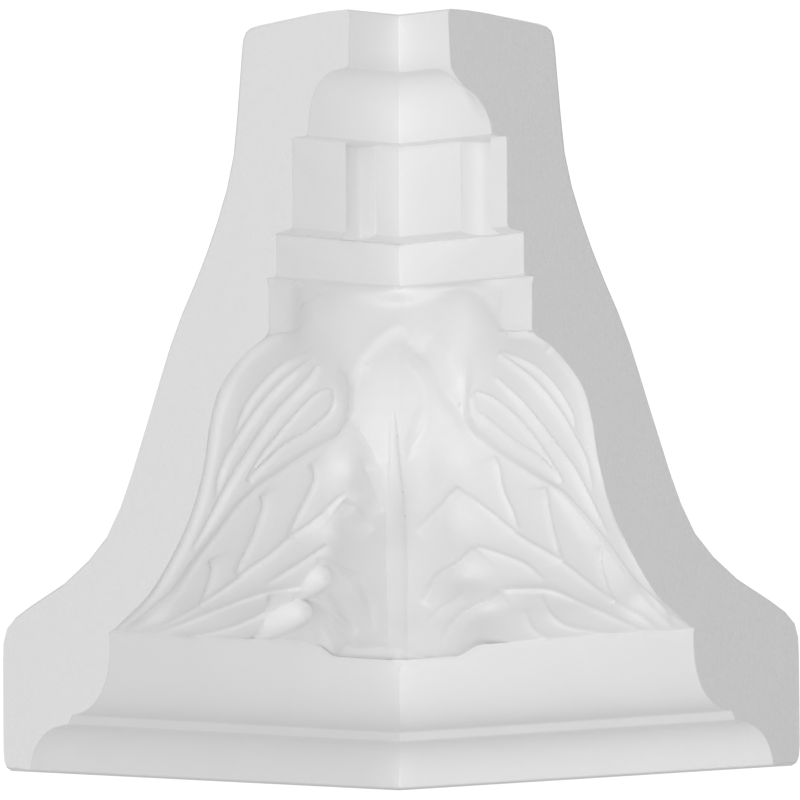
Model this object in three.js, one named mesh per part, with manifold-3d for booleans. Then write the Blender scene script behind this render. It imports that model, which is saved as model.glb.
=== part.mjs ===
// Inside corner block of a carved crown moulding, millimetres, +Z up.
// Two short legs of one profile meet in a concave fold. The origin is the room
// corner at the foot of the block: the left leg lies on the wall plane x = 0 and
// runs along -Y, the right leg lies on the wall plane y = 0 and runs along +X,
// and the top of the block lies against the ceiling.
import * as THREE from 'three';
import Module from 'manifold-3d';
import { mergeVertices } from 'three/addons/utils/BufferGeometryUtils.js';

// ---- driving dimensions --------------------------------------------------
const HEIGHT = 160.5;          // wall contact to ceiling
const PROJECTION = 110;        // wall to front of the top fillet
const LEG = 125;               // room corner to each square-cut end

// front mouldings, from the foot up: [projection, height]
const FOOT_D = 9.3;            // front edge of the foot
const FOOT_COVE = [19.1, 9.3];     // top of the concave foot moulding
const BEAD_LOW = [21.1, 9.8];      // small fillet, lower edge
const BEAD_TOP = [22.3, 11.7];     // small fillet, upper edge
const OVOLO_TOP = [34.4, 25.9];    // widest line of the lower ovolo
const LEDGE_Z = 28.9;              // ledge that the leaves stand on
const FRIEZE_D = 84.5;             // front of the curled leaf tips
const FRIEZE_LOW_Z = 91.6;
const FILLET = [86.9, 103.6];      // plain fillet under the dentils, lower edge
const FILLET_TOP_Z = 113.1;
const DENTIL_D = 92;               // front of the dentils
const DENTIL_LOW_Z = 114;
const DENTIL_TOP_Z = 133.75;
const COVE_LOW_D = 96.6;           // crown cove, lower edge
const COVE_TOP = [105.5, 147.5];   // crown cove, upper edge
const TOP_FILLET_D = 109.3;

// hollow back, from the wall pad up to the ceiling
const PAD_TOP_Z = 30.5;            // flat pad against each wall
const BACK_LEAN = [28.5, 45.9];    // end of the lean above the pad
const BACK_WAIST = [55, 93.9];
const BACK_SHOULDER = [70.9, 122.7];
const BACK_TOP = [76.4, 154.5];
const CEILING_BACK = [78.6, 158.8];
const CEILING_FLAT_D = 100;        // level ceiling strip starts here
const ARRIS = 2.2;                 // rounding of the foot's back edge

// dentil band: gaps cut into the band, measured along each leg from the room corner
const GAP_DEPTH = 5.6;
const LEFT_GAP = [99.3, 108.6];
const RIGHT_GAP = [110.7, 120];

// leaf carving: the leaf surface at the ends of the legs, [projection, height]
const LEAF_LINE = [
  [34.2, 28.9], [40, 32.3], [46.8, 36.8], [54.8, 45.7], [60.2, 53.9],
  [64.1, 63.6], [66.1, 73], [68.6, 79.5], [72.7, 84.1], [79.5, 89.1],
  [84.5, FRIEZE_LOW_Z],
];
const GROUND_DEPTH = 5;            // ground behind the leaves
const NECK = [[62.5, 77.5], [64.5, 86], [70, 95.5], [80, 102]]; // cove over the ground
const LEAF_ROWS = 44;
const LEAF_STATIONS = 42;          // along each leg
const CURL_WIDTH = 10.2;           // half width of the curled leaf tip at each end
const RELIEF_FLOOR_D = 20;         // thickness of the carved band, inside the block

// ---- profile ----------------------------------------------------------------
const arc = (path, corner, end) => path.quadraticCurveTo(corner[0], corner[1], end[0], end[1]);

// the closed section of a leg; the front of the leaf band is set back a little,
// because the carved band covers it
function sectionPoints() {
  const low = new THREE.Path().moveTo(FOOT_D, 0);
  arc(low, [FOOT_D, FOOT_COVE[1]], FOOT_COVE);
  low.lineTo(...BEAD_LOW).lineTo(...BEAD_TOP);
  const ovolo = new THREE.Path().moveTo(...BEAD_TOP);
  ovolo.bezierCurveTo(BEAD_TOP[0] + 6.5, BEAD_TOP[1], OVOLO_TOP[0], OVOLO_TOP[1] - 7,
    OVOLO_TOP[0], OVOLO_TOP[1]);
  const cove = new THREE.Path().moveTo(COVE_LOW_D, DENTIL_TOP_Z + 0.6);
  cove.bezierCurveTo(COVE_LOW_D, DENTIL_TOP_Z + 7.4, COVE_TOP[0] - 4.6, COVE_TOP[1] - 0.7,
    ...COVE_TOP);
  const back = new THREE.SplineCurve([BACK_TOP, [75, 142], [73.5, 130.9], BACK_SHOULDER,
    [64, 108.6], BACK_WAIST, [46.1, 74.5], [37.7, 56.8], BACK_LEAN]
    .map((p) => new THREE.Vector2(...p)));
  const foot = new THREE.Path().moveTo(19.5, 40.5);
  foot.lineTo(8.9, 36.4).lineTo(3.1, 33.9);
  arc(foot, [0, 32.6], [0, PAD_TOP_Z - 4]);
  foot.lineTo(0, ARRIS);
  arc(foot, [0, 0], [ARRIS, 0]);

  const points = [
    ...low.getPoints(6),
    ...ovolo.getPoints(8).slice(1),
    new THREE.Vector2(34.2, LEDGE_Z),
    ...LEAF_LINE.map(([d, z]) => new THREE.Vector2(d - 9, z + 1)),
    new THREE.Vector2(FILLET[0] - 9, FILLET[1]),
    new THREE.Vector2(...FILLET),
    new THREE.Vector2(FILLET[0], FILLET_TOP_Z),
    new THREE.Vector2(DENTIL_D, DENTIL_LOW_Z),
    new THREE.Vector2(DENTIL_D, DENTIL_TOP_Z),
    ...cove.getPoints(7),
    new THREE.Vector2(TOP_FILLET_D, COVE_TOP[1] + 0.3),
    new THREE.Vector2(PROJECTION, HEIGHT - 0.8),
    new THREE.Vector2(PROJECTION - 0.8, HEIGHT),
    new THREE.Vector2(CEILING_FLAT_D, HEIGHT),
    new THREE.Vector2(CEILING_BACK[0] + 1.5, 159.1),
    new THREE.Vector2(CEILING_BACK[0] - 0.6, 158),
    ...back.getPoints(20),
    ...foot.getPoints(4),
  ];
  // drop repeated points
  return points.filter((p, i) => p.distanceTo(points[(i + 1) % points.length]) > 0.05);
}

// ---- mitred sweep -------------------------------------------------------------
// An extrusion runs k = -1 .. 1: k = 0 is the mitre, +1 the left end, -1 the right
// end. Every point at projection d starts on the mitre at a distance d from the
// corner along its leg.
function mitredSweep(points, stations, move = null) {
  const geometry = new THREE.ExtrudeGeometry(new THREE.Shape(points), {
    steps: 2 * stations, depth: 2, bevelEnabled: false, curveSegments: 1,
  });
  geometry.deleteAttribute('normal');
  geometry.deleteAttribute('uv');
  const position = geometry.attributes.position;
  const lift = new Float32Array(position.count);
  for (let i = 0; i < position.count; i += 1) {
    const k = position.getZ(i) - 1;
    const along = Math.min(1, Math.abs(k));
    let d = position.getX(i);
    let z = position.getY(i);
    if (move) {
      [d, z] = move(d, z, along);
      lift[i] = d - position.getX(i);
    }
    const s = along > 0.9999 ? LEG : d + (LEG - d) * along;
    if (k > 0) position.setXYZ(i, d, -s, z);
    else position.setXYZ(i, s, -d, z);
  }
  if (move) followRidges(geometry, lift);
  return mergeVertices(geometry, 1e-4);
}

// Each face of the swept wall is two triangles a b d, b c d. Where the carving is
// closer to level between a and c, the face is split that way instead, so that
// edges run along the ridges of the leaves and not across them.
function followRidges(geometry, lift) {
  const position = geometry.attributes.position;
  const walls = geometry.groups[1];
  const point = (i) => [position.getX(i), position.getY(i), position.getZ(i)];
  for (let i = walls.start; i < walls.start + walls.count; i += 6) {
    if (Math.abs(lift[i] - lift[i + 4]) + 1e-6 < Math.abs(lift[i + 1] - lift[i + 2])) {
      const [a, b, d, c] = [i, i + 1, i + 2, i + 4].map(point);
      [a, b, c, a, c, d].forEach((p, j) => position.setXYZ(i + j, ...p));
    }
  }
}

// ---- leaf carving ---------------------------------------------------------------
const leafCurve = new THREE.SplineCurve(LEAF_LINE.map((p) => new THREE.Vector2(...p)));
const frontLine = [
  ...leafCurve.getSpacedPoints(LEAF_ROWS - 7),
  new THREE.Vector2(FRIEZE_D, 94.5),
  new THREE.Vector2(FRIEZE_D, 97.5),
  new THREE.Vector2(FRIEZE_D, 100.5),
  new THREE.Vector2(FRIEZE_D, 102.9),
  new THREE.Vector2(FRIEZE_D, 105),
];
const leafProjection = (z) => {
  for (let i = 1; i < frontLine.length; i += 1) {
    const a = frontLine[i - 1];
    const b = frontLine[i];
    if (z <= b.y) return a.x + (b.x - a.x) * Math.max(0, (z - a.y) / (b.y - a.y || 1));
  }
  return FRIEZE_D;
};
const neckCurve = new THREE.SplineCurve(NECK.map((p) => new THREE.Vector2(...p))).getPoints(24);

// projection of the ground behind the leaves at height z
function ground(z) {
  if (z >= NECK[NECK.length - 1][1]) return FRIEZE_D - (z < 103.5 ? 3 : 0);
  if (z > NECK[0][1]) {
    for (let i = 1; i < neckCurve.length; i += 1) {
      const a = neckCurve[i - 1];
      const b = neckCurve[i];
      if (z <= b.y) return a.x + ((b.x - a.x) * (z - a.y)) / (b.y - a.y);
    }
  }
  const rise = THREE.MathUtils.smoothstep(z, LEDGE_Z, LEDGE_Z + 9);
  return leafProjection(z) - GROUND_DEPTH * rise;
}

// A lobe is a pillow along a curved axis: points [distance, height], half width at
// its root and near its tip, and how far it stands off the ground.
const lobe = (axis, rootWidth, tipWidth, height) => ({
  line: new THREE.SplineCurve(axis.map((p) => new THREE.Vector2(...p))).getPoints(18),
  rootWidth, tipWidth, height,
});
// half leaf at each end; distance is measured back from the end of the leg
const END_LOBES = [
  lobe([[0, 28], [0, 55], [0, 82]], 2.6, 3.2, 5),
  lobe([[3.6, 30], [5.4, 57], [8.6, 75], [14.2, 87]], 2.2, 4.2, 5),
  lobe([[6.8, 36], [11, 59], [17.4, 74.5], [25, 83.5]], 2.4, 4.6, 4.9),
  lobe([[9, 38], [14.6, 57], [25, 69.5], [36, 78]], 3, 7, 5.2),
  lobe([[7.4, 31.8], [17, 45.5], [31, 60.5]], 3.4, 6.4, 4.7),
  lobe([[6.8, 31.8], [13, 42], [18, 50.5]], 2.8, 5.2, 5.2),
  lobe([[9, 30], [25, 39], [42, 52]], 2.8, 4.6, 4.9),
  lobe([[13.6, 30.4], [27, 33], [38, 36.6]], 2.4, 3.8, 4.7),
];
// leaf in the fold; distance is measured from the fold
const FOLD_LOBES = [
  lobe([[0, 66], [0, 80], [0, 90]], 10, 8.5, 5),
  lobe([[4, 54], [9, 63], [13.5, 71]], 4.6, 4.4, 4.4),
  lobe([[2, 44], [9, 50.5], [18, 57]], 4.8, 4.8, 4.8),
  lobe([[3, 35], [12, 40.5], [22, 45]], 4.6, 4.6, 5),
  lobe([[10, 30], [22, 33.2], [32, 35]], 3.6, 4, 5.6),
];
const MIDRIB = { low: 27, high: 86, width: 3.1, height: 2 };

function lobeHeight(item, x, z) {
  let best = Infinity;
  let at = 0;
  const n = item.line.length - 1;
  for (let i = 0; i < n; i += 1) {
    const a = item.line[i];
    const b = item.line[i + 1];
    const abx = b.x - a.x;
    const aby = b.y - a.y;
    const t = THREE.MathUtils.clamp(((x - a.x) * abx + (z - a.y) * aby) / (abx * abx + aby * aby), 0, 1);
    const gap = Math.hypot(x - a.x - t * abx, z - a.y - t * aby);
    if (gap < best) { best = gap; at = (i + t) / n; }
  }
  const width = THREE.MathUtils.lerp(item.rootWidth, item.tipWidth, Math.sin(at * Math.PI * 0.5));
  const q = best / width;
  return q >= 1 ? 0 : item.height * (1 - q * q);
}

// how far the carving stands off the ground at a place on a leg
function carving(fromFold, fromEnd, z) {
  let height = 0;
  for (const item of END_LOBES) height = Math.max(height, lobeHeight(item, fromEnd, z));
  for (const item of FOLD_LOBES) height = Math.max(height, lobeHeight(item, fromFold, z));
  if (z > MIDRIB.low && z < MIDRIB.high) {
    const taper = THREE.MathUtils.lerp(1, 0.35, (z - MIDRIB.low) / (MIDRIB.high - MIDRIB.low));
    const q = fromFold / (MIDRIB.width * taper);
    if (q < 1) height = Math.max(height, GROUND_DEPTH * 0.8) + MIDRIB.height * Math.sqrt(1 - q * q);
  }
  return height;
}

function carvedBand() {
  const backLine = [];
  for (let i = 0; i <= 5; i += 1) {
    const z = THREE.MathUtils.lerp(105, 27.5, i / 5);
    backLine.push(new THREE.Vector2(Math.max(leafProjection(Math.max(z, 30)) - RELIEF_FLOOR_D, 12), z));
  }
  const outline = [new THREE.Vector2(33.6, 27.5), ...frontLine, ...backLine.slice(0, -1),
    new THREE.Vector2(20, 27.5)];
  const front = new Set(frontLine.map((p) => `${p.x.toFixed(3)},${p.y.toFixed(3)}`));
  return mitredSweep(outline, LEAF_STATIONS, (d, z, along) => {
    if (along > 0.9999 || !front.has(`${d.toFixed(3)},${z.toFixed(3)}`)) return [d, z];
    const s = d + (LEG - d) * along;
    const fromEnd = LEG - s;
    const floor = ground(z);
    // the leaf tip at each end curls out under the fillet, with a steep side
    const curl = 1 - THREE.MathUtils.smoothstep(fromEnd, CURL_WIDTH - 1.2, CURL_WIDTH + 1.2);
    const carved = Math.min(floor + carving(s - d, fromEnd, z), Math.max(d, floor) + 1.2);
    const shell = THREE.MathUtils.smoothstep(z, 84, 91);
    const out = THREE.MathUtils.lerp(carved, Math.max(carved, d), curl * shell);
    return [Math.min(out, FRIEZE_D), z];
  });
}

// ---- dentil gaps ----------------------------------------------------------------
function gapCutter(span, left) {
  const width = span[1] - span[0];
  const shape = new THREE.Shape([
    new THREE.Vector2(DENTIL_D - GAP_DEPTH, FILLET_TOP_Z),
    new THREE.Vector2(FILLET[0], FILLET_TOP_Z),
    new THREE.Vector2(DENTIL_D + 0.4, DENTIL_LOW_Z - 0.5),
    new THREE.Vector2(DENTIL_D + 0.4, DENTIL_TOP_Z),
    new THREE.Vector2(DENTIL_D - GAP_DEPTH, DENTIL_TOP_Z),
  ]);
  const geometry = new THREE.ExtrudeGeometry(shape, { steps: 1, depth: width, bevelEnabled: false });
  geometry.deleteAttribute('normal');
  geometry.deleteAttribute('uv');
  const position = geometry.attributes.position;
  for (let i = 0; i < position.count; i += 1) {
    const d = position.getX(i);
    const z = position.getY(i);
    if (left) position.setXYZ(i, d, -(span[0] + position.getZ(i)), z);
    else position.setXYZ(i, span[1] - position.getZ(i), -d, z);
  }
  return mergeVertices(geometry, 1e-4);
}

// ---- joining ------------------------------------------------------------------
const wasm = await Module();
wasm.setup();
const solid = (geometry) => new wasm.Manifold(new wasm.Mesh({
  numProp: 3,
  vertProperties: new Float32Array(geometry.attributes.position.array),
  triVerts: new Uint32Array(geometry.index.array),
}));

const block = solid(mitredSweep(sectionPoints(), 1))
  .subtract(solid(gapCutter(LEFT_GAP, true)))
  .subtract(solid(gapCutter(RIGHT_GAP, false)))
  .add(solid(carvedBand()));

const result = block.getMesh();
const geometry = new THREE.BufferGeometry();
geometry.setAttribute('position', new THREE.BufferAttribute(new Float32Array(result.vertProperties), 3));
geometry.setIndex(new THREE.BufferAttribute(new Uint32Array(result.triVerts), 1));
geometry.computeVertexNormals();

const primed = new THREE.MeshStandardMaterial({ color: 0xe9e9e7, roughness: 0.62, metalness: 0 });
const moulding = new THREE.Mesh(geometry, primed);
moulding.name = 'inside_corner_moulding';

const group = new THREE.Group();
group.name = 'inside_corner_moulding_part';
group.add(moulding);
export default group;
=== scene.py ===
"""Inside corner block of a carved crown moulding: its fine surface, finish, light and camera.

Lengths here are millimetres until the mesh is written, in metres. A place on a leg is
(s, d, z): s along the wall from the room corner, d out from the wall, z up. The left leg
runs along -Y (x = d, y = -s), the right leg along +X (x = s, y = -d).
The carving's lines are laid out on a drawing plane of 800 by 800 units, the plane that the
camera below sees, and both legs are carved through it onto the surface of the moulding.
"""
import math

import bpy
import numpy as np
from mathutils import Matrix, Vector


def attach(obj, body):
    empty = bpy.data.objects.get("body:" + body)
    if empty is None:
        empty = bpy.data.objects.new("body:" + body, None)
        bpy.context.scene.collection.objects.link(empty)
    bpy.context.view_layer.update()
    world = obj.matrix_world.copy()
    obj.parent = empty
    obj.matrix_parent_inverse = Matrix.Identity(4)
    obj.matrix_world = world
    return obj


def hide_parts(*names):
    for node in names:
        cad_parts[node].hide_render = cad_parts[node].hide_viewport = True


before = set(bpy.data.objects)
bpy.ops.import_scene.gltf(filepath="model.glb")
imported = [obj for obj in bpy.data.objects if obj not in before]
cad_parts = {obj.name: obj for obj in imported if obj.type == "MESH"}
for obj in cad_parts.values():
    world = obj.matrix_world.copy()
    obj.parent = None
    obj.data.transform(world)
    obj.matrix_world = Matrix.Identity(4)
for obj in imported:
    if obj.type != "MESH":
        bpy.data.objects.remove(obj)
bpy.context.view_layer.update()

LEG = 125.0
NODE = "inside_corner_moulding"

# ---------------------------------------------------------------- camera
CAM_AZ, CAM_EL, CAM_ROLL = 44.55, -4.70, -0.417
CAM_DIST = 3400.0
FOCAL_PX = 15343.0
AIM = np.array([58.0, -58.0, 82.28])
_a, _e = math.radians(CAM_AZ), math.radians(CAM_EL)
BACK = np.array([math.sin(_a) * math.cos(_e), -math.cos(_a) * math.cos(_e), math.sin(_e)])
RIGHT0 = np.array([math.cos(_a), math.sin(_a), 0.0])
UP0 = np.cross(BACK, RIGHT0)
AIM = AIM + RIGHT0 * 0.234
CAM = AIM + BACK * CAM_DIST


def draw_plane(p):
    """Points (n, 3) in the row frame to the drawing plane, (n, 2), y down."""
    q = p - CAM
    depth = -(q @ BACK)
    x = FOCAL_PX * (q @ RIGHT0) / depth
    y = FOCAL_PX * (q @ UP0) / depth
    c, s = math.cos(math.radians(CAM_ROLL)), math.sin(math.radians(CAM_ROLL))
    return np.stack([400 + c * x + s * y, 400 - (-s * x + c * y)], 1)


# ---------------------------------------------------------------- helpers
def smoothstep(x, a, b):
    t = np.clip((x - a) / (b - a), 0, 1)
    return t * t * (3 - 2 * t)


def catmull(points, step=4.0, closed=False):
    """A smooth line through the points, with a vertex about every step."""
    p = np.array(points, float)
    n = len(p)
    if n < 3 and not closed:
        k = max(2, int(np.hypot(*(p[1] - p[0])) / step) + 1)
        return np.linspace(p[0], p[1], k)
    if closed:
        ext = np.vstack([p[-1], p, p[0], p[1]])
        spans = n
    else:
        ext = np.vstack([2 * p[0] - p[1], p, 2 * p[-1] - p[-2]])
        spans = n - 1
    out = []
    for i in range(spans):
        p0, p1, p2, p3 = ext[i:i + 4]
        # centripetal parameters keep the line from overshooting
        t1 = max(np.hypot(*(p1 - p0)), 1e-6) ** 0.5
        t2 = t1 + max(np.hypot(*(p2 - p1)), 1e-6) ** 0.5
        t3 = t2 + max(np.hypot(*(p3 - p2)), 1e-6) ** 0.5
        k = max(1, int(round(np.hypot(*(p2 - p1)) / step)))
        for t in np.linspace(t1, t2, k, endpoint=False):
            a1 = (t1 - t) / t1 * p0 + t / t1 * p1
            a2 = (t2 - t) / (t2 - t1) * p1 + (t - t1) / (t2 - t1) * p2
            a3 = (t3 - t) / (t3 - t2) * p2 + (t - t2) / (t3 - t2) * p3
            b1 = (t2 - t) / t2 * a1 + t / t2 * a2
            b2 = (t3 - t) / (t3 - t1) * a2 + (t - t1) / (t3 - t1) * a3
            out.append((t2 - t) / (t2 - t1) * b1 + (t - t1) / (t2 - t1) * b2)
    if not closed:
        out.append(p[-1])
    return np.array(out)


def line_distance(pts, line):
    """Distance from each point to a line, and how far along it the nearest place is, 0 to 1."""
    best = np.full(len(pts), 1e9)
    at = np.zeros(len(pts))
    seg = np.diff(line, axis=0)
    length = np.hypot(seg[:, 0], seg[:, 1])
    start = np.concatenate([[0], np.cumsum(length)])
    total = start[-1]
    for i in range(len(seg)):
        ab = seg[i]
        l2 = max(ab @ ab, 1e-9)
        ap = pts - line[i]
        t = np.clip((ap @ ab) / l2, 0, 1)
        dist = np.hypot(ap[:, 0] - t * ab[0], ap[:, 1] - t * ab[1])
        m = dist < best
        best[m] = dist[m]
        at[m] = (start[i] + t[m] * length[i]) / total
    return best, at


def inside(pts, poly):
    """Even-odd test of points in a closed outline."""
    x, y = pts[:, 0], pts[:, 1]
    hit = np.zeros(len(pts), bool)
    j = len(poly) - 1
    for i in range(len(poly)):
        xi, yi = poly[i]
        xj, yj = poly[j]
        if yi != yj:
            cross = (yi > y) != (yj > y)
            hit ^= cross & (x < (xj - xi) * (y - yi) / (yj - yi) + xi)
        j = i
    return hit


def near(pts, line, reach):
    lo, hi = line.min(0) - reach, line.max(0) + reach
    return np.where((pts[:, 0] > lo[0]) & (pts[:, 0] < hi[0]) & (pts[:, 1] > lo[1]) & (pts[:, 1] < hi[1]))[0]


# ---------------------------------------------------------------- the moulding's section
def bez(p0, p1, p2, p3, n):
    t = np.linspace(0, 1, n)[:, None]
    p0, p1, p2, p3 = map(np.array, (p0, p1, p2, p3))
    return (1 - t) ** 3 * p0 + 3 * (1 - t) ** 2 * t * p1 + 3 * (1 - t) * t ** 2 * p2 + t ** 3 * p3


def resample(points, n):
    p = np.array(points, float)
    s = np.concatenate([[0], np.cumsum(np.hypot(*np.diff(p, axis=0).T))])
    t = np.linspace(0, s[-1], n)
    return np.stack([np.interp(t, s, p[:, 0]), np.interp(t, s, p[:, 1])], 1)


def section():
    """Rows of the closed section as (d, z), the kind of each row, and for each the ground point behind it."""
    rows, kinds, grounds = [], [], []

    def add(points, kind, ground=None):
        for i, p in enumerate(points):
            if rows and math.hypot(rows[-1][0] - p[0], rows[-1][1] - p[1]) < 0.03:
                continue
            rows.append((float(p[0]), float(p[1])))
            kinds.append(kind)
            grounds.append(tuple(ground[i]) if ground is not None else (float(p[0]), float(p[1])))

    # foot: arris, cove, small fillet, ovolo, ledge
    add([(9.0, 0.0), (9.3, 0.25)], "low")
    add(bez((9.35, 0.6), (9.6, 4.6), (13.2, 9.0), (18.9, 9.25), 9), "low")
    add([(21.0, 9.5), (21.3, 9.7), (22.3, 11.25), (22.6, 11.5)], "low")
    add(bez((23.6, 11.6), (29.6, 12.0), (34.2, 16.5), (34.4, 25.6), 10), "low")
    add([(34.4, 27.4), (34.3, 28.5), (34.15, 28.9)], "low")
    # leaves
    leaf = catmull([(34.3, 29.1), (36.0, 29.8), (40.0, 32.3), (46.8, 36.8), (54.8, 45.7), (60.2, 53.9), (64.1, 63.6),
                    (66.1, 73.0), (68.6, 79.5), (72.7, 84.1), (78.5, 88.4), (82.6, 90.3)], 0.25)
    leaf = resample(leaf, 214)
    tan = np.gradient(leaf, axis=0)
    tan /= np.hypot(*tan.T)[:, None]
    normal = np.stack([tan[:, 1], -tan[:, 0]], 1)
    z = leaf[:, 1]
    tip = np.array([(83.6, 91.0), (84.3, 91.9), (84.5, 93.0), (84.5, 94.4), (84.5, 95.8), (84.5, 97.2), (84.5, 98.6),
                    (84.5, 100.0), (84.5, 101.3), (84.4, 102.3), (84.1, 103.1), (83.9, 103.7)])
    full = np.vstack([leaf, tip])
    # ground: the leaf line set back by its depth, then the neck's cove up to the fillet
    low = z < 78.5
    ground = leaf - normal * (GROUND * smoothstep(z, 29.0, 34.0))[:, None]
    last = ground[low][-1]
    n_up = (~low).sum() + len(tip)
    neck = catmull([last - (0.35, 1.2), last, last + (1.0, 4.6), (66.6, 91.2), (69.9, 95.6), (74.6, 99.4),
                    (80.0, 102.2), (85.6, 103.75)], 0.25)
    neck = neck[np.argmin(np.hypot(*(neck - last).T)):]
    ground = np.vstack([ground[low], resample(neck, n_up + 1)[1:]])
    add(full, "leaf", ground)
    # fillet, soffit, dentils, crown cove, top fillet
    add([(86.5, 103.75), (86.9, 104.1), (86.95, 106.5), (86.95, 110.5), (86.9, 112.8), (86.6, 113.15)], "high")
    add([(86.75, 113.2), (89.0, 113.5), (91.2, 113.85)], "soffit")
    add([(91.8, 114.15), (92.0, 114.8), (92.0, 119.0), (92.0, 124.0), (92.0, 129.0), (92.0, 132.6), (92.0, 133.6)], "dentil")
    add([(92.05, 133.75), (95.9, 133.8), (96.5, 134.0)], "high")
    add(bez((96.7, 134.8), (97.2, 141.4), (99.6, 146.8), (105.3, 147.5), 10), "high")
    add([(107.9, 147.6), (108.9, 147.8), (109.3, 148.3), (109.55, 152.0), (109.85, 158.6), (109.7, 159.9), (109.0, 160.4)], "high")
    # top and back
    add([(104.0, 160.45), (99.0, 160.3), (90.0, 159.7), (81.5, 159.1), (79.0, 158.7), (77.6, 157.9), (76.8, 156.4)], "back")
    back = catmull([(76.4, 154.0), (75.0, 142.0), (73.5, 130.9), (70.9, 122.7), (64.0, 108.6), (55.0, 93.9), (46.1, 74.5),
                    (37.7, 56.8), (32.4, 49.3), (27.2, 45.2)], 4)
    add(resample(back, 17), "back")
    add([(19.5, 40.6), (8.9, 36.3), (4.0, 34.0), (1.4, 31.9), (0.2, 28.6), (0.02, 25.0), (0.0, 14.0), (0.03, 4.5),
         (0.35, 2.0), (1.0, 0.8), (2.4, 0.12), (5.0, 0.0)], "back")
    return np.array(rows), np.array(kinds), np.array(grounds)


GROUND = 5.0
FOLD_LEVEL = (0.5, 0.8)
ROWS, KINDS, GROUNDS = section()
N = len(ROWS)
M = 138                                  # stations on each leg


# ---------------------------------------------------------------- grid
Q = np.concatenate([np.linspace(1, 0, M + 1), np.linspace(0, 1, M + 1)[1:]])
SIDE = np.concatenate([-np.ones(M + 1), np.ones(M)])
COLS = len(Q)


def grid_points(dz, slide=0.0):
    """Places of all vertices, for (d, z) of shape (rows, columns, 2); slide moves them along the leg."""
    d, z = dz[..., 0], dz[..., 1]
    s = d + (LEG - d) * Q[None, :] + slide
    left = SIDE[None, :] < 0
    x = np.where(left, d, s)
    y = np.where(left, -s, -d)
    return np.stack([x, y, z], -1)


leaf_rows = np.where(KINDS == "leaf")[0]
R0, R1 = leaf_rows[0], leaf_rows[-1] + 1
base = np.repeat(ROWS[:, None, :], COLS, 1)
ground = np.repeat(GROUNDS[:, None, :], COLS, 1)
pl = draw_plane(grid_points(base[R0:R1]).reshape(-1, 3))      # drawing-plane place of the leaf surface
SHAPE = (R1 - R0, COLS)

leaf_line = ROWS[R0:R1]


# ---------------------------------------------------------------- carving
def soft_region(outline, top, edge_at):
    """How far the surface stands from the ground (0) to the leaf surface (1): inside the outline `top`, a
    pair for high and low places, falling off at its border over a width given for each point by edge_at(points)."""
    poly = np.array(outline, float)
    idx = near(pl, poly, 2)
    idx = idx[inside(pl[idx], poly)]
    dist, _ = line_distance(pl[idx], np.vstack([poly, poly[:1]]))
    t = np.clip(dist / edge_at(pl[idx]), 0, 1)
    mask[idx] = np.maximum(mask[idx], np.interp(pl[idx][:, 1], [340, 440], top) * t * t * (3 - 2 * t))


def blur(grid, sigma):
    k = int(3 * sigma + 1)
    w = np.exp(-0.5 * (np.arange(-k, k + 1) / sigma) ** 2)
    w /= w.sum()
    for axis in (0, 1):
        pad = [(k, k) if ax == axis else (0, 0) for ax in (0, 1)]
        g2 = np.pad(grid, pad, mode="edge")
        grid = sum(w[i] * (g2[i:i + grid.shape[0]] if axis == 0 else g2[:, i:i + grid.shape[1]]) for i in range(2 * k + 1))
    return grid


# outer edge of the half leaf at each end of the block
E_L = [(300, 356), (319.5, 363), (336, 372), (347, 383), (350.5, 397), (348.5, 416), (339, 434), (319.5, 446), (300, 458),
       (282.5, 471), (258, 488), (238, 508), (218, 535), (196, 564), (176, 594), (152, 616), (120, 635)]
E_R = [(496, 352), (482, 357), (468, 364), (461.5, 375), (461, 388), (464, 402), (467, 419), (473, 432), (496, 451), (528, 473),
       (558, 493), (577.5, 515), (602, 545), (624, 577), (649, 604), (669, 624), (684, 633.5)]

mask = np.zeros(len(pl))
soft_region([(40, 720), (40, 240), (312, 240), (316, 300), (322, 340), (348, 378), (352, 397), (350, 418), (341, 436),
             (322, 448), (302, 460), (284, 473), (260, 490), (240, 510), (220, 537), (198, 566), (178, 596), (154, 618), (122, 637),
             (90, 720)], (1.0, 1.0),
            lambda q: np.interp(q[:, 1], [335, 362, 385, 400], [26, 24, 12, 6]))
soft_region([(760, 720), (760, 240), (484, 240), (480, 300), (474, 340), (462, 370), (459, 388), (462, 402), (465, 419),
             (471, 433), (494, 453), (526, 475), (556, 495), (575.5, 517), (600, 547), (622, 579), (647, 606), (667, 626), (700, 720)], (1.0, 1.0),
            lambda q: np.interp(q[:, 1], [335, 362, 385, 400], [26, 24, 14, 7]))
soft_region([(90, 720), (250, 440), (322, 385), (326, 352), (340, 330), (366, 312), (398, 304), (430, 312), (456, 330),
             (472, 352), (474, 385), (540, 440), (700, 720)], FOLD_LEVEL,
            lambda q: np.interp(q[:, 1], [300, 420, 470], [46, 40, 20]))
mask = mask.reshape(SHAPE)
upper = 1 - smoothstep(pl[:, 1], 372, 396).reshape(SHAPE)
mask = blur(mask, 1.6) * (1 - upper) + blur(mask, 9.0) * upper
mask = mask.reshape(-1)

qq = np.repeat(Q[None, :], R1 - R0, 0).reshape(-1)
m = np.maximum(mask, smoothstep(qq, 0.95, 0.985))
row_index = np.repeat(np.arange(R1 - R0)[:, None], COLS, 1).reshape(-1)
g = ground[R0:R1].reshape(-1, 2)
b = base[R0:R1].reshape(-1, 2)
p0 = g + (b - g) * m[:, None]
pl = draw_plane(grid_points(p0.reshape(SHAPE + (2,))).reshape(-1, 3))
fine = np.zeros(len(pl))
out = np.zeros(len(pl))


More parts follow.
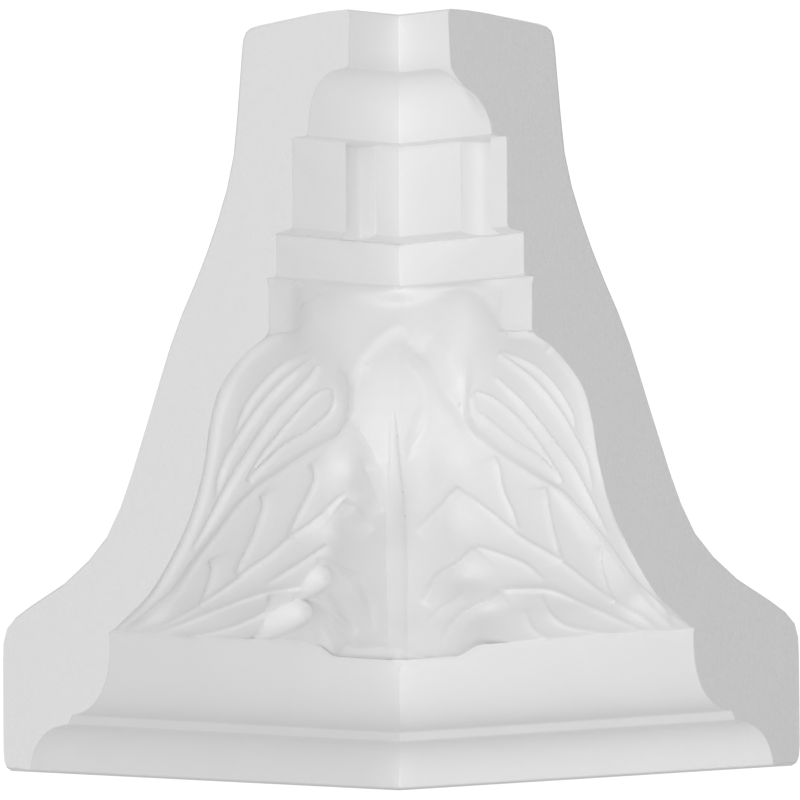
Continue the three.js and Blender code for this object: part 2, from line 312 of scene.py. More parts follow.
def groove(points, depths, width=3.0, wide=0.0, spread=2.4):
    """A cut line; depths are given at each point, or one for all, and wide adds a shallow trough around it."""
    p = np.array(points, float)
    if np.ndim(depths) == 0:
        depths = [depths * k for k in np.interp(np.linspace(0, 1, len(p)), [0, 0.12, 0.8, 1], [0.75, 1, 0.9, 0.35])]
    cum = np.concatenate([[0], np.cumsum(np.hypot(*np.diff(p, axis=0).T))])
    line = catmull(points, 3.0)
    idx = near(pl, line, width * spread * 2.5)
    if not len(idx):
        return
    dist, at = line_distance(pl[idx], line)
    dep = np.interp(at * cum[-1], cum, depths)
    wid = width * (0.55 + 0.45 * np.clip(dep / max(max(np.abs(depths)), 1e-6), 0, 1))
    fine[idx] -= dep * np.exp(-(dist / wid) ** 2)
    if wide:
        fine[idx] -= dep * wide * np.exp(-(dist / (wid * spread)) ** 2)


def step(points, depths, reach, low, core=1.8, line_cut=0.0):
    """An overlap: the surface on one side of the line starts `depths` lower at it and comes back up over
    `reach`. Going along the line, that side is on the right hand for low = 1 and on the left for low = -1."""
    p = np.array(points, float)
    if np.ndim(depths) == 0:
        depths = [depths * k for k in np.interp(np.linspace(0, 1, len(p)), [0, 0.15, 0.85, 1], [0.35, 1, 1, 0.35])]
    cum = np.concatenate([[0], np.cumsum(np.hypot(*np.diff(p, axis=0).T))])
    line = catmull(points, 3.0)
    idx = near(pl, line, reach * 4)
    if not len(idx):
        return
    q = pl[idx]
    seg = np.diff(line, axis=0)
    best = np.full(len(q), 1e9)
    signed = np.zeros(len(q))
    at = np.zeros(len(q))
    start = np.concatenate([[0], np.cumsum(np.hypot(*seg.T))])
    for i in range(len(seg)):
        ab = seg[i]
        length = math.hypot(*ab)
        n = np.array([-ab[1], ab[0]]) / length * low
        ap = q - line[i]
        t = np.clip((ap @ ab) / length ** 2, 0, 1)
        off = ap - t[:, None] * ab
        dist = np.hypot(off[:, 0], off[:, 1])
        w = dist < best - 1e-9
        best[w] = dist[w]
        signed[w] = np.where((off @ n)[w] >= 0, dist[w], -dist[w])
        at[w] = (start[i] + t[w] * length) / start[-1]
    dep = np.interp(at * cum[-1], cum, depths)
    ends = smoothstep(at, 0.0, 0.06) * (1 - smoothstep(at, 0.94, 1.0)) * (1 - smoothstep(best, 2.6 * reach, 3.9 * reach))
    side = smoothstep(signed, -core, core)
    over = np.exp(-(np.maximum(-signed, 0) / 4.5) ** 1.5)
    fine[idx] -= dep * ends * (side * np.exp(-np.maximum(signed, 0) / reach) + (1 - side) * 0.4 * over)
    if line_cut:
        fine[idx] -= line_cut * dep * ends * np.exp(-((signed - 0.8) / 2.6) ** 2)


def dome(x, y, rx, ry, height, turn=0.0):
    c, s = math.cos(math.radians(turn)), math.sin(math.radians(turn))
    dx, dy = pl[:, 0] - x, pl[:, 1] - y
    u, v = c * dx + s * dy, -s * dx + c * dy
    fine[:] += height * np.exp(-(u / rx) ** 2 - (v / ry) ** 2)


def swell(x, y, rx, ry, height, turn=0.0):
    """A bulge straight out from the wall, centred where it shows once it stands out."""
    c, s = math.cos(math.radians(turn)), math.sin(math.radians(turn))
    side = 1.0 if x > 400 else -1.0
    dx, dy = pl[:, 0] - (x + side * 3.0 * height * 0.8), pl[:, 1] - y
    u, v = c * dx + s * dy, -s * dx + c * dy
    out[:] += height * np.exp(-(u / rx) ** 2 - (v / ry) ** 2)


def ridge_line(points, height, width, power=2.0):
    line = catmull(points, 4.0)
    idx = near(pl, line, width * 3)
    dist, at = line_distance(pl[idx], line)
    k = np.interp(at, [0, 0.12, 0.88, 1], [0.4, 1, 1, 0.4])
    fine[idx] += height * k * np.exp(-(dist / width) ** power)


def channel(y0, y1, width, depth):
    """A trough along the fold that deepens from y0 down to y1."""
    fine[:] -= depth * smoothstep(pl[:, 1], y0, y1) * np.exp(-((pl[:, 0] - 399) / width) ** 2)


def tip(x0, x1, y, ry, height):
    """On the left leg, a lobe's tip that rises from x0 to x1 and drops back there, where they show."""
    xe = x1 - 2.4 * height
    u = (pl[:, 0] - x0) / (xe - x0)
    w = np.exp(-((pl[:, 1] - y) / ry) ** 4) * (1 - smoothstep(u, 0.85, 1.45)) * smoothstep(u, -0.15, 0.15)
    low = 0.4 + 0.6 * np.clip((pl[:, 1] - y + ry) / (2 * ry), 0, 1)
    out[:] += height * low * np.clip(u, 0, 1) * w


IN_L, IN_R = -1, 1          # lower towards the fold
OUT_L, OUT_R = 1, -1        # lower away from the fold

# --- half leaves: veins from the base up to the curled edge, left then right
groove([(304, 337), (280, 340), (263, 348), (246, 360), (235, 374), (225, 395), (217, 421), (210.5, 463), (199, 510), (179, 557),
        (152, 599), (129.5, 621), (112, 632)],
       [0.5, 1.3, 1.5, 1.6, 1.6, 1.6, 1.6, 1.5, 1.3, 1.1, 0.9, 0.7, 0.4], 3.4, 0.35)
groove([(312, 355), (287, 366), (268, 382), (248, 406.5), (235.6, 433.6)], [0.5, 1.0, 1.0, 0.9, 0.3], 2.6, 0.3)
groove([(313, 361), (287, 382), (263, 406), (245, 431), (231, 453), (221, 478), (217, 497)],
       [0.6, 1.1, 1.1, 1.1, 1.1, 0.9, 0.2], 2.7, 0.3)
groove([(317, 372), (312, 380), (295, 397), (277.5, 414), (258, 441), (238, 473), (223, 500), (211, 522), (194, 549)],
       [1.2, 1.3, 1.2, 1.2, 1.3, 1.3, 1.2, 0.9, 0.2], 2.9, 0.3)
groove([(250, 480), (263, 456), (282.5, 431), (305, 406.5), (322, 393), (331, 392.5), (335, 401), (331, 411), (312, 429),
        (287, 443.5), (268, 461), (253, 477)],
       [1.0, 0.9, 0.8, 0.7, 0.6, 0.5, 0.7, 0.8, 0.8, 0.8, 0.9, 0.9], 2.1, 0.3, 2.0)
groove([(500, 334), (512, 334.5), (528, 337), (548, 346), (563, 364.5), (580, 389), (587, 416), (592, 448), (602, 478),
        (617, 517.5), (629, 552), (649, 589), (669, 614), (693.5, 632)],
       [0.4, 0.9, 1.3, 1.4, 1.4, 1.4, 1.4, 1.3, 1.3, 1.1, 1.0, 0.9, 0.7, 0.4], 3.0, 0.35)
groove([(502, 354), (522, 363), (538, 373), (558, 395), (570, 416), (575, 431)], [0.5, 1.0, 1.0, 1.0, 0.9, 0.2], 2.4, 0.3)
groove([(500, 357), (528, 379), (553, 406.5), (570, 434), (582.5, 458), (592, 488)], [0.6, 1.0, 1.0, 1.0, 0.9, 0.2], 2.6, 0.3)
groove([(497, 380), (523, 406.5), (550, 441), (570, 468), (587, 500), (606, 532)], [0.6, 1.1, 1.2, 1.2, 1.1, 0.2], 2.7, 0.3)
groove([(560, 482), (548, 461), (531, 436), (508, 411), (489, 398), (475, 395), (473, 402), (476, 410), (489, 421), (513, 441),
        (538, 458), (556, 476)],
       [0.9, 0.8, 0.8, 0.8, 0.8, 0.7, 0.6, 0.7, 0.7, 0.7, 0.7, 0.7], 2.1, 0.3, 2.0)
for outline, low in ((E_L, IN_L), (E_R, IN_R)):
    step(outline[1:], [0.0, 0.3, 0.9, 1.8, 2.1, 1.7, 1.2, 0.9, 0.7, 0.6, 0.7, 0.7, 0.6, 0.5, 0.4, 0.2] if low == IN_L else
         [0.0, 0.1, 0.2, 0.4, 0.6, 0.7, 0.7, 0.7, 0.6, 0.6, 0.7, 0.7, 0.6, 0.5, 0.4, 0.2], 10, low, 2.8, 0.45)

# --- petals under the half leaf, each lapping over the next towards the fold
for line, low, depth, reach in (
        ([(308, 464), (314, 471), (315, 480), (309.6, 495), (300, 515), (287, 540)], IN_L, 1.3, 16),
        ([(259, 496), (264, 501), (264.5, 510), (260.5, 522.5), (253, 542), (243, 562), (236, 577)], IN_L, 1.3, 15),
        ([(210, 559), (213.5, 567), (213, 577), (208, 591.5), (202, 605)], IN_L, 1.3, 11),
        ([(493, 455), (497, 466), (500, 483), (504, 497), (511, 512), (519, 534)], IN_R, 1.1, 16),
        ([(544, 486), (545, 500), (548, 518), (554, 542), (562, 564)], IN_R, 1.2, 15),
        ([(600, 546), (598, 556), (599, 569), (607, 591.5), (613, 603)], IN_R, 1.0, 11)):
    step(line, depth, reach, low, 2.2, 0.6)

# --- long bands from the base of the half leaf towards the fold
for line, low, depth, reach, cut in (
        ([(347, 490), (332, 505), (312, 525), (287, 542), (273, 554.5), (248, 572), (228, 587), (199, 606), (171, 621), (131, 637)],
         IN_L, [0.5, 1.0, 1.0, 1.0, 1.0, 1.0, 1.0, 0.9, 0.7, 0.3], 10, 0.5),
        ([(327, 546), (318, 553), (307, 559.5), (287, 572), (264, 585)], IN_L, [0.6, 1.3, 1.3, 1.1, 0.3], 10, 0.5),
        ([(305, 586), (287, 588), (273, 590), (248, 598), (218, 609), (189, 621), (164, 630), (142, 636)],
         IN_L, [0.6, 1.1, 1.2, 1.2, 1.1, 0.9, 0.6, 0.3], 9, 0.5),
        ([(268, 594), (272, 600), (270, 608), (263, 615), (243, 623), (218, 630), (189, 635), (171, 637)],
         IN_L, [0.8, 1.7, 1.8, 1.6, 1.3, 1.1, 0.8, 0.3], 9, 0.5),
        ([(284, 612), (284, 620), (279, 628), (268, 634.5), (248, 640), (223, 643), (204, 643)],
         IN_L, [0.8, 1.4, 1.5, 1.4, 1.2, 1.0, 0.4], 8, 0.4),
        ([(460, 488), (489, 513), (518, 537), (563, 564), (602, 594), (637, 614), (664, 633.5)],
         IN_R, [0.5, 1.0, 1.0, 1.0, 1.0, 0.9, 0.4], 10, 0.4),
        ([(474, 546), (499, 554.5), (523, 564), (545, 580)], IN_R, [0.7, 1.2, 1.1, 0.4], 10, 0.4),
        ([(499, 589), (518, 588), (548, 589), (573, 599), (607, 614), (632, 626), (656.5, 637)],
         IN_R, [1.3, 1.6, 1.6, 1.2, 1.0, 0.8, 0.3], 9, 0.4),
        ([(541, 592), (543, 603), (550, 614), (563, 624), (592, 630), (624, 635), (637, 636)],
         IN_R, [0.6, 1.3, 1.5, 1.3, 1.1, 0.8, 0.3], 9, 0.4),
        ([(526, 606), (527, 617), (533, 628.5), (548, 638), (573, 643), (595, 645), (612, 643)],
         IN_R, [0.5, 1.1, 1.2, 1.2, 1.0, 0.7, 0.3], 8, 0.3)):
    step(line, depth, reach, low, 2.0, cut)

# --- fold leaf: a channel towards the midrib, with a crest on each side of it
channel(440, 560, 44, 1.5)
channel(480, 570, 38, 2.2)
ridge_line([(446, 436), (445, 480), (449, 520), (455, 550), (463, 580)], 1.0, 16)
# its top stands over the neck, with a faint valley inside its edge
step([(346, 420), (350, 400), (354, 385), (360, 368), (369, 354), (384, 341), (400, 335), (413, 342), (424, 352)],
     [0.2, 0.8, 1.2, 1.3, 1.4, 1.5, 1.5, 1.0, 0.2], 26, -1, 4.5)
ridge_line([(411, 340), (422, 347), (433, 358), (442, 374), (450, 391), (461, 406), (474, 428)], 1.9, 10)
groove([(406, 362), (414, 371), (421, 380), (425, 394), (426, 406), (423, 418), (417, 432), (410, 448)],
       [0.1, 0.4, 0.6, 0.6, 0.7, 0.8, 0.8, 0.3], 6)
groove([(429, 418), (426, 430), (420, 440), (414, 449), (408, 460)], [0.4, 0.9, 1.0, 0.9, 0.2], 4)
groove([(449, 352), (455, 372), (457, 392)], [0.1, 0.3, 0.1], 8)
groove([(308, 288), (311, 303), (312, 320), (309, 338)], [0.2, 0.6, 0.6, 0.3], 8)
# pockets beside the flat bands of the neck
groove([(306, 283), (310, 300), (311, 318), (310, 332), (303, 347)], [1.4, 2.4, 2.6, 2.6, 0.8], 12)
step([(500, 283), (498, 300), (496, 318), (492, 335)], [0.3, 0.6, 0.7, 0.3], 16, IN_R, 4.5)
for line, low, depth, reach, cut in (
        ([(350, 425), (360, 430), (367, 440), (373, 450), (380, 467)], OUT_L, 1.7, 12, 0.0),
        ([(360, 458), (365, 470), (371, 484), (377, 498), (383, 516)], OUT_L, 1.1, 7, 0.1),
        ([(431, 469), (426, 482), (420, 498)], OUT_R, 0.5, 5, 0.1),
        ([(343, 501), (352, 508), (361, 515), (368, 524), (374, 535)], OUT_L, [0.9, 2.2, 2.2, 1.3, 0.2], 18, 0.0),
        ([(461, 486), (450, 495), (439, 508), (426, 523), (414, 536)], OUT_R, [0.9, 2.0, 1.8, 1.1, 0.2], 18, 0.0),
        ([(316, 559), (338, 566), (352, 578), (364, 591), (371, 606), (375, 624)], OUT_L, 1.5, 15, 0.0),
        ([(474, 546), (462, 559), (450, 568), (438, 575), (428, 588), (420, 602)], OUT_R, 1.9, 15, 0.1),
        ([(331, 593), (338, 602), (346, 611), (358, 623)], OUT_L, 1.2, 7, 0.2),
        ([(465, 592), (452, 598), (440, 604), (426, 615)], OUT_R, 1.1, 7, 0.3),
        ([(297, 591), (306, 599), (318, 607), (330, 613), (345, 621), (355, 634), (360, 648)], OUT_L, 1.9, 14, 0.0),
        ([(500, 589), (489, 599), (476, 604), (460, 609), (450, 616), (444, 625), (441, 634)], OUT_R, [0.7, 2.0, 2.0, 1.9, 1.7, 1.1, 0.3], 14, 0.25)):
    step(line, depth, reach, low, 2.4, cut)
# curled tips, standing out over the hollows under them
swell(360, 590, 18, 12, 1.4)
swell(457, 580, 24, 14, 3.2)
ridge_line([(296, 590), (308, 597), (320, 605), (333, 613), (345, 621)], 1.4, 4.5)
groove([(344, 572), (357, 580), (366, 592), (372, 606), (374, 626)], [0.5, 1.4, 1.5, 1.2, 0.3], 4.5)
groove([(332, 594), (341, 604), (349, 613), (357, 623)], [0.4, 1.3, 1.3, 0.3], 4)
groove([(324, 618), (337, 624), (347, 633), (352, 646)], [0.4, 1.2, 1.2, 0.3], 5)
swell(475, 617, 25, 14, 4.4)
swell(340, 538, 16, 18, 3.0)
tip(328, 364, 509, 14, 2.6)
swell(458, 530, 16, 22, 1.6)
swell(357, 473, 16, 26, 3.2)
swell(450, 466, 16, 24, 1.2)
dome(281, 612, 7, 12, -0.8)
dome(524, 606, 8, 12, -0.5)
swell(354, 643, 30, 10, -3.6)
swell(478, 641, 30, 10, -3.2)

# nicks
for x, y, size, depth in ((268, 336, 3.0, 0.7), (366, 368, 2.4, 0.4), (547.5, 352, 2.4, 0.7), (587, 447, 2.2, 0.5), (550, 441, 1.8, 0.4)):
    dome(x, y, size, size, -depth)

# ---------------------------------------------------------------- put it together
dz = base.copy()
rowtan = np.gradient(leaf_line, axis=0)
rowtan /= np.hypot(*rowtan.T)[:, None]
rownorm = np.stack([rowtan[:, 1], -rowtan[:, 0]], 1)
rn = np.repeat(rownorm[:, None, :], COLS, 1).reshape(-1, 2)
level = (1 - smoothstep(b[:, 1], 36, 54))[:, None]          # low down the relief stands straight out
rn = rn * (1 - level) + np.array([1.0, 0.0]) * level
rn /= np.hypot(*rn.T)[:, None]
end_fade = 1 - 0.85 * smoothstep(qq, 0.985, 1.0)
lift = fine * end_fade * smoothstep(row_index, -1, 2)
p = p0 + rn * lift[:, None] + np.stack([out * end_fade, 0 * out], 1)
p[:, 0] = np.where(b[:, 1] < 36, np.maximum(p[:, 0], 32.2 + 0.7 * (b[:, 1] - 29.1)), p[:, 0])
dz[R0:R1] = p.reshape(SHAPE + (2,))

# the top of the fold leaf bridges the fold as a low dome; the neck above it is rounded, the fold below sharper
ROUND = np.array([(29.0, 0.8, 0.8), (40.0, 1.6, 1.6), (47.0, 2.8, 2.6), (52.0, 5.0, 3.6), (58.0, 7.4, 4.8), (64.0, 8.4, 6.4), (70.0, 9.0, 8.0),
                  (76.0, 9.0, 8.8), (89.0, 8.8, 8.8), (94.0, 7.8, 7.8), (97.0, 5.4, 5.4), (99.4, 3.5, 3.5), (101.0, 2.5, 2.5),
                  (102.2, 2.0, 2.0), (103.2, 1.1, 1.1), (103.7, 0.2, 0.2)])
round_k = np.stack([np.interp(ROWS[:, 1], ROUND[:, 0], ROUND[:, c]) for c in (1, 2)], 1)[R0:R1]
round_n = np.interp(ROWS[:, 1], [56, 76, 86, 97], [2.2, 4.4, 4.0, 2.2])[R0:R1]
soft = np.exp(-0.5 * (np.arange(-15, 16) / 6.0) ** 2)
soft /= soft.sum()
low_rows = np.arange(R1 - R0) < 190
for c in (0, 1):
    smooth = np.convolve(np.pad(round_k[:, c], 15, mode="edge"), soft, mode="valid")
    round_k[low_rows, c] = smooth[low_rows]
for i in range(R0, R1):
    k = np.where(SIDE < 0, round_k[i - R0, 0], round_k[i - R0, 1])
    n = round_n[i - R0] * np.where(SIDE < 0, 1.0, 0.8)
    u = (LEG - dz[i, :, 0]) * Q / math.sqrt(2)
    curve = np.where(SIDE < 0, 0.16, 0.04)
    dome_k = k[M] * (1 - smoothstep(u, 0, 6)) + k * smoothstep(u, 0, 6)
    dome_k = dome_k * (1 - curve * np.minimum(u / k, 1.5) ** 2)
    dz[i, :, 0] += ((u ** n + dome_k ** n) ** (1 / n) - u) / math.sqrt(2) * (1 - smoothstep(u, 1.8 * k, 4.5 * k))

# two curled tips low on the left leg, as balls: s, z, d of the centre and the radius
slide = np.zeros((N, COLS))
for sc, zc, dc, radius in ((76.8, 34.7, 43.7, 3.9), (76.6, 42.4, 50.3, 3.5)):
    for i in range(R0, R1):
        if abs(ROWS[i, 1] - zc) > 1.6 * radius:
            continue
        d0 = dz[i, :, 0].copy()
        ds = d0 + (LEG - d0) * Q + slide[i] - sc
        ds = ds * np.where(ds > 0, 1.12, 0.88)
        ratio = np.sqrt(ds ** 2 + (dz[i, :, 1] - zc) ** 2) / radius
        reach = dc + 0.95 * radius * (1 - ratio ** 3)
        h = np.clip(0.5 + 0.5 * (reach - d0) / 0.9, 0, 1)
        new = d0 * (1 - h) + reach * h + 0.9 * h * (1 - h)
        new = np.where((SIDE < 0) & (ratio < 2.0), new, d0)
        slide[i] -= (new - d0) * (1 - Q)
        dz[i, :, 0] = new

# midrib: a round rib in the fold, (z, radius, height of its axis, shift to the right) down its length
RIB = np.array([(24.2, 0.05, -1.6, 0.0), (25.4, 0.8, -1.2, -0.1), (27.2, 1.6, -1.0, -0.3), (29.0, 2.2, -0.2, -0.5), (33.0, 2.5, 0.6, -0.8),
                (45.0, 2.3, 0.7, -1.0), (60.0, 1.7, 0.5, -1.5), (68.0, 1.2, 0.3, -2.0), (74.0, 0.9, 0.1, -2.2),
                (77.0, 0.6, -0.3, -2.2), (79.0, 0.05, -1.2, -2.2)])
for i in range(N):
    z = ROWS[i, 1]
    if KINDS[i] not in ("low", "leaf") or not RIB[0, 0] < z < RIB[-1, 0]:
        continue
    rad, up, shift = (np.interp(z, RIB[:, 0], RIB[:, k]) for k in (1, 2, 3))
    r = (LEG - dz[i, :, 0]) * Q
    u = SIDE * r / math.sqrt(2) - shift / math.sqrt(2)
    d_fold = dz[i, M, 0]
    v = up + np.sqrt(np.maximum(rad ** 2 - u ** 2, 0))
    rib = d_fold + (v - r / math.sqrt(2)) / math.sqrt(2)
    rib = np.where(np.abs(u) < rad, rib, -1e3)
    dz[i, :, 0] = np.maximum(dz[i, :, 0], rib)

# the ledge dips under the fold leaf
for i in range(N):
    d, z = ROWS[i]
    if KINDS[i] in ("low", "leaf") and 20.0 < z < 40.0:
        r = (LEG - d) * Q
        fall = smoothstep(z, 20.0, 28.4) * (1 - smoothstep(z, 29.5, 40.0))
        near_fold = np.where(SIDE < 0, 1 - smoothstep(r, 20.0, 26.0), 1 - smoothstep(r, 17.0, 26.0))
        rise = np.where(SIDE < 0, smoothstep(r, 26, 31) * (1 - smoothstep(r, 42, 54)), 0)
        dz[i, :, 1] += fall * (rise * 0.7 - near_fold * 2.3)

# dentil gaps: the side towards the fold runs round into the bottom of the gap
GAPS = {-1: (99.3, 108.3), 1: (110.7, 119.8)}
for i in np.where((KINDS == "dentil") | (KINDS == "soffit"))[0]:
    d, z = ROWS[i]
    s = d + (LEG - d) * Q
    for side, (a, c) in GAPS.items():
        w = np.sin(math.pi / 2 * np.clip((s - a + 0.1) / 4.4, 0, 1)) * (1 - smoothstep(s, c - 0.8, c + 0.15)) * (SIDE == side)
        nd = np.minimum(d, d + (87.1 - d) * w)
        dz[i, :, 0] = np.where(w > 0, nd, dz[i, :, 0])
        if KINDS[i] == "soffit":
            dz[i, :, 1] = np.where(w > 0, z + (113.15 - z) * w, dz[i, :, 1])
        elif z < 114.9:
            dz[i, :, 1] = np.where(w > 0, z + (113.35 - z) * w * 0.9, dz[i, :, 1])

# the crown cove is shallower at the right end
for i in np.where(KINDS == "high")[0]:
    d, z = ROWS[i]
    if 136.0 < z < 148.4:
        s = d + (LEG - d) * Q
        low_z = np.interp(d, [96.7, 97.4, 98.6, 101.4, 106.2, 108.7, 109.3], [135.2, 137.2, 139.2, 142.0, 144.3, 146.9, 148.3])
        dz[i, :, 1] += min(low_z - z, 0.0) * smoothstep(s, 118.5, 124.8) * (SIDE > 0)

# arrises of the back and top, worn at both ends
loop = np.roll(ROWS, -1, 0) - np.roll(ROWS, 1, 0)
loop /= np.hypot(*loop.T)[:, None]
for i in np.where(KINDS == "back")[0]:
    for col in (0, COLS - 1):
        dz[i, col] += np.array([-loop[i, 1], loop[i, 0]]) * 0.7

verts = grid_points(dz, slide).reshape(-1, 3) / 1000.0

# ---------------------------------------------------------------- mesh
faces = []
for i in range(N):
    j = (i + 1) % N
    a = i * COLS + np.arange(COLS - 1)
    b2 = j * COLS + np.arange(COLS - 1)
    faces.append(np.stack([a, a + 1, b2 + 1, b2], 1))
faces = np.vstack(faces)
left_cap = [i * COLS for i in range(N)]
right_cap = [i * COLS + COLS - 1 for i in range(N)][::-1]

mesh = bpy.data.meshes.new("corner_block")
mesh.from_pydata(verts.tolist(), [], [f.tolist() for f in faces] + [left_cap, right_cap])
mesh.update()
piece = bpy.data.objects.new("corner_block", mesh)
bpy.context.scene.collection.objects.link(piece)
import bmesh
bm = bmesh.new()
bm.from_mesh(mesh)
caps = [f for f in bm.faces if len(f.verts) > 10]
bmesh.ops.triangulate(bm, faces=caps, quad_method="BEAUTY", ngon_method="BEAUTY")
bmesh.ops.recalc_face_normals(bm, faces=bm.faces)
vol = bm.calc_volume(signed=True)
if vol < 0:
    bmesh.ops.reverse_faces(bm, faces=bm.faces)
for f in bm.faces:
    f.smooth = True
sharp = math.radians(38)


def at_end(face):
    return all(v.co.x > 0.12499 for v in face.verts) or all(v.co.y < -0.12499 for v in face.verts)



for e in bm.edges:
    if len(e.link_faces) == 2 and (e.calc_face_angle(0) > sharp or sum(map(at_end, e.link_faces)) == 1):
        e.smooth = False
bm.to_mesh(mesh)
print("volume cm3", vol * 1e6, "tris", sum(len(f.vertices) - 2 for f in mesh.polygons))
bm.free()

# ---------------------------------------------------------------- material
mat = bpy.data.materials.new("primed_foam")
mat.use_nodes = True
nt = mat.node_tree
bsdf = nt.nodes["Principled BSDF"]


def node(kind, **values):
    n = nt.nodes.new(kind)
    for k, v in values.items():
        setattr(n, k, v)
    return n


def link(a, b):
    nt.links.new(a, b)


def math_node(op, a, b):
    n = node("ShaderNodeMath", operation=op)
    for i, v in enumerate((a, b)):
        if isinstance(v, (int, float)):
            n.inputs[i].default_value = v
        elif v is not None:
            link(v, n.inputs[i])
    return n.outputs[0]


def noise(scale, detail, rough=0.5):
    n = node("ShaderNodeTexNoise")
    n.inputs["Scale"].default_value = scale
    n.inputs["Detail"].default_value = detail
    n.inputs["Roughness"].default_value = rough
    link(coords.outputs["Object"], n.inputs["Vector"])
    return n.outputs["Fac"]


def mix_colour(fac, a, b):
    n = node("ShaderNodeMix", data_type="RGBA")
    link(fac, n.inputs[0])
    for sock, v in ((n.inputs[6], a), (n.inputs[7], b)):
        if isinstance(v, tuple):
            sock.default_value = v
        else:
            link(v, sock)
    return n.outputs[2]


coords = node("ShaderNodeTexCoord")
split = node("ShaderNodeSeparateXYZ")
link(coords.outputs["Object"], split.inputs[0])
end_right = math_node("GREATER_THAN", split.outputs[0], 0.12485)
end_left = math_node("LESS_THAN", split.outputs[1], -0.12485)
cut_end = math_node("MAXIMUM", end_right, end_left)
clouds = noise(55.0, 4.0)                  # faint patches in the primer
peel = noise(620.0, 3.0)                   # orange peel of the spray coat, about 1.5 mm
grain = noise(1500.0, 5.0, 0.7)            # sandy grain of the sawn ends, about 0.7 mm
cells = node("ShaderNodeTexVoronoi")       # open cells of the foam, a few tenths of a millimetre deep
cells.inputs["Scale"].default_value = 900.0
link(coords.outputs["Object"], cells.inputs["Vector"])
pit_spots = node("ShaderNodeTexVoronoi")      # sparse small pits in the primer
pit_spots.inputs["Scale"].default_value = 47.0
link(coords.outputs["Object"], pit_spots.inputs["Vector"])
pit_and_shade = math_node("LESS_THAN", pit_spots.outputs["Distance"], 0.02)
face = mix_colour(clouds, (0.965, 0.965, 0.965, 1), (0.935, 0.935, 0.937, 1))
# the pits are painted darker than the primer: painted shade standing in for the shade inside them
face = mix_colour(math_node("MULTIPLY", pit_and_shade, 0.2), face, (0.62, 0.62, 0.62, 1))
left_end = mix_colour(grain, (0.945, 0.945, 0.945, 1), (0.905, 0.905, 0.907, 1))
# the right sawn end is darker than the left: partly its rougher raw grain, partly painted shade, as it faces away from
# the key light
right_end_grain_and_shade = mix_colour(grain, (0.885, 0.885, 0.885, 1), (0.79, 0.79, 0.794, 1))
colour = mix_colour(end_left, face, left_end)
colour = mix_colour(end_right, colour, right_end_grain_and_shade)
link(colour, bsdf.inputs["Base Color"])
rough = math_node("ADD", math_node("MULTIPLY", peel, 0.14), math_node("ADD", math_node("MULTIPLY", cut_end, 0.25), 0.46))
link(rough, bsdf.inputs["Roughness"])
height_face = math_node("ADD", math_node("MULTIPLY", peel, 0.00006), math_node("MULTIPLY", clouds, 0.0003))
height_end = math_node("ADD", math_node("MULTIPLY", grain, 0.00010),
                       math_node("MULTIPLY", math_node("MINIMUM", cells.outputs["Distance"], 0.4), 0.00008))
height_end = math_node("MULTIPLY", height_end, cut_end)
height = math_node("ADD", height_face, height_end)
height = math_node("SUBTRACT", height, math_node("MULTIPLY", pit_and_shade, 0.0002))
bump = node("ShaderNodeBump")
bump.inputs["Strength"].default_value = 1.0
bump.inputs["Distance"].default_value = 1.0
link(height, bump.inputs["Height"])
link(bump.outputs[0], bsdf.inputs["Normal"])
piece.data.materials.append(mat)

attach(piece, "root")
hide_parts(NODE)

# ---------------------------------------------------------------- stage
floor_mesh = bpy.data.meshes.new("floor")
F = 6.0
floor_mesh.from_pydata([(-F, -F, -0.9), (F, -F, -0.9), (F, F, -0.9), (-F, F, -0.9)], [], [(0, 1, 2, 3)])
floor = bpy.data.objects.new("floor", floor_mesh)
bpy.context.scene.collection.objects.link(floor)
fmat = bpy.data.materials.new("pale_floor")
fmat.use_nodes = True
fmat.node_tree.nodes["Principled BSDF"].inputs["Base Color"].default_value = (0.86, 0.86, 0.86, 1)
fmat.node_tree.nodes["Principled BSDF"].inputs["Roughness"].default_value = 0.9
floor.data.materials.append(fmat)

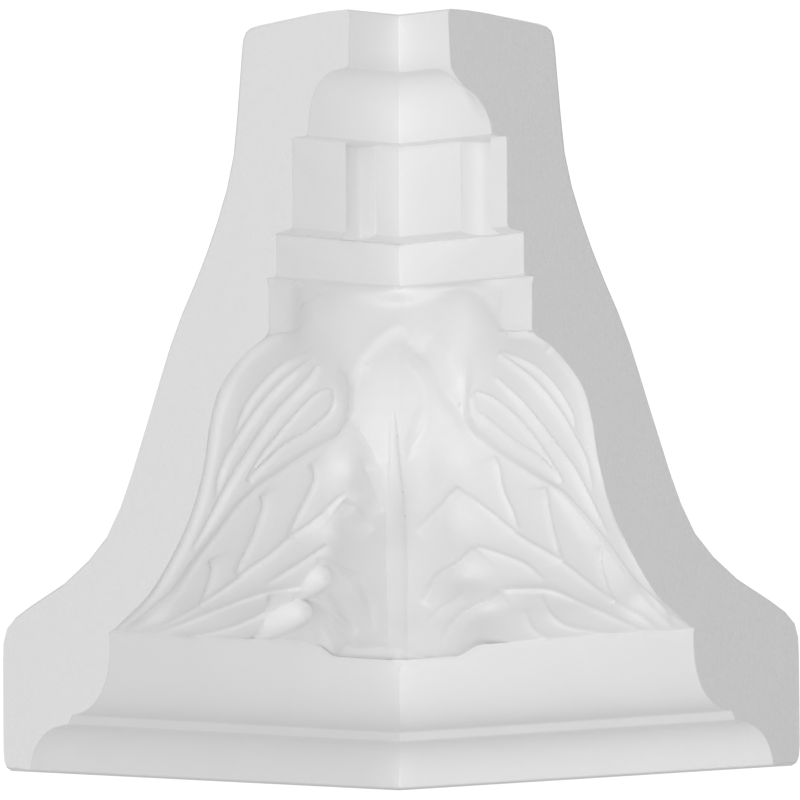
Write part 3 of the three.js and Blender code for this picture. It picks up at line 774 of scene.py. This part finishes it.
scene = bpy.context.scene
world = bpy.data.worlds.new("studio")
scene.world = world
world.use_nodes = True
wn = world.node_tree
bg = wn.nodes["Background"]
bg.inputs["Color"].default_value = (1, 1, 1, 1)
bg.inputs["Strength"].default_value = 0.44
bg2 = wn.nodes.new("ShaderNodeBackground")
bg2.inputs["Color"].default_value = (1, 1, 1, 1)
bg2.inputs["Strength"].default_value = 1.05
mix = wn.nodes.new("ShaderNodeMixShader")
lp = wn.nodes.new("ShaderNodeLightPath")
wn.links.new(lp.outputs["Is Camera Ray"], mix.inputs[0])
wn.links.new(bg.outputs[0], mix.inputs[1])
wn.links.new(bg2.outputs[0], mix.inputs[2])
wn.links.new(mix.outputs[0], wn.nodes["World Output"].inputs[0])


centre = (0.06, -0.06, 0.08)


def softbox(name, az, el, dist, size, power):
    """A square light that far from the block, az degrees to the viewer's right and el degrees up."""
    u, v = math.radians(az), math.radians(el)
    out = RIGHT0 * math.sin(u) * math.cos(v) + np.array([math.sin(_a), -math.cos(_a), 0]) * math.cos(u) * math.cos(v)
    out = Vector((out[0], out[1], math.sin(v)))
    light = bpy.data.lights.new(name, "AREA")
    light.shape = "SQUARE"
    light.size = size
    light.energy = power
    ob = bpy.data.objects.new(name, light)
    scene.collection.objects.link(ob)
    ob.location = Vector(centre) + out * dist
    ob.rotation_euler = out.to_track_quat("Z", "Y").to_euler()


SOFTBOXES = [("front_left", -22, -1, 2.3, 1.6, 11.9), ("front_low", 5, -14, 2.3, 1.2, 7.9),
             ("above", 0, 80, 2.0, 1.8, 9.6)]
for box in SOFTBOXES:
    softbox(*box)

cam_data = bpy.data.cameras.new("camera")
cam_data.sensor_width = 36.0
cam_data.sensor_fit = "HORIZONTAL"
cam_data.lens = FOCAL_PX / 800.0 * 36.0
cam_data.clip_start = 0.1
cam_data.clip_end = 50
cam = bpy.data.objects.new("camera", cam_data)
scene.collection.objects.link(cam)
rr = math.radians(CAM_ROLL)
right_v = RIGHT0 * math.cos(rr) + UP0 * math.sin(rr)
up_v = UP0 * math.cos(rr) - RIGHT0 * math.sin(rr)
rot = Matrix((right_v, up_v, BACK)).transposed().to_4x4()
cam.matrix_world = Matrix.Translation(Vector(CAM / 1000.0)) @ rot
scene.camera = cam
scene.view_settings.view_transform = "Standard"
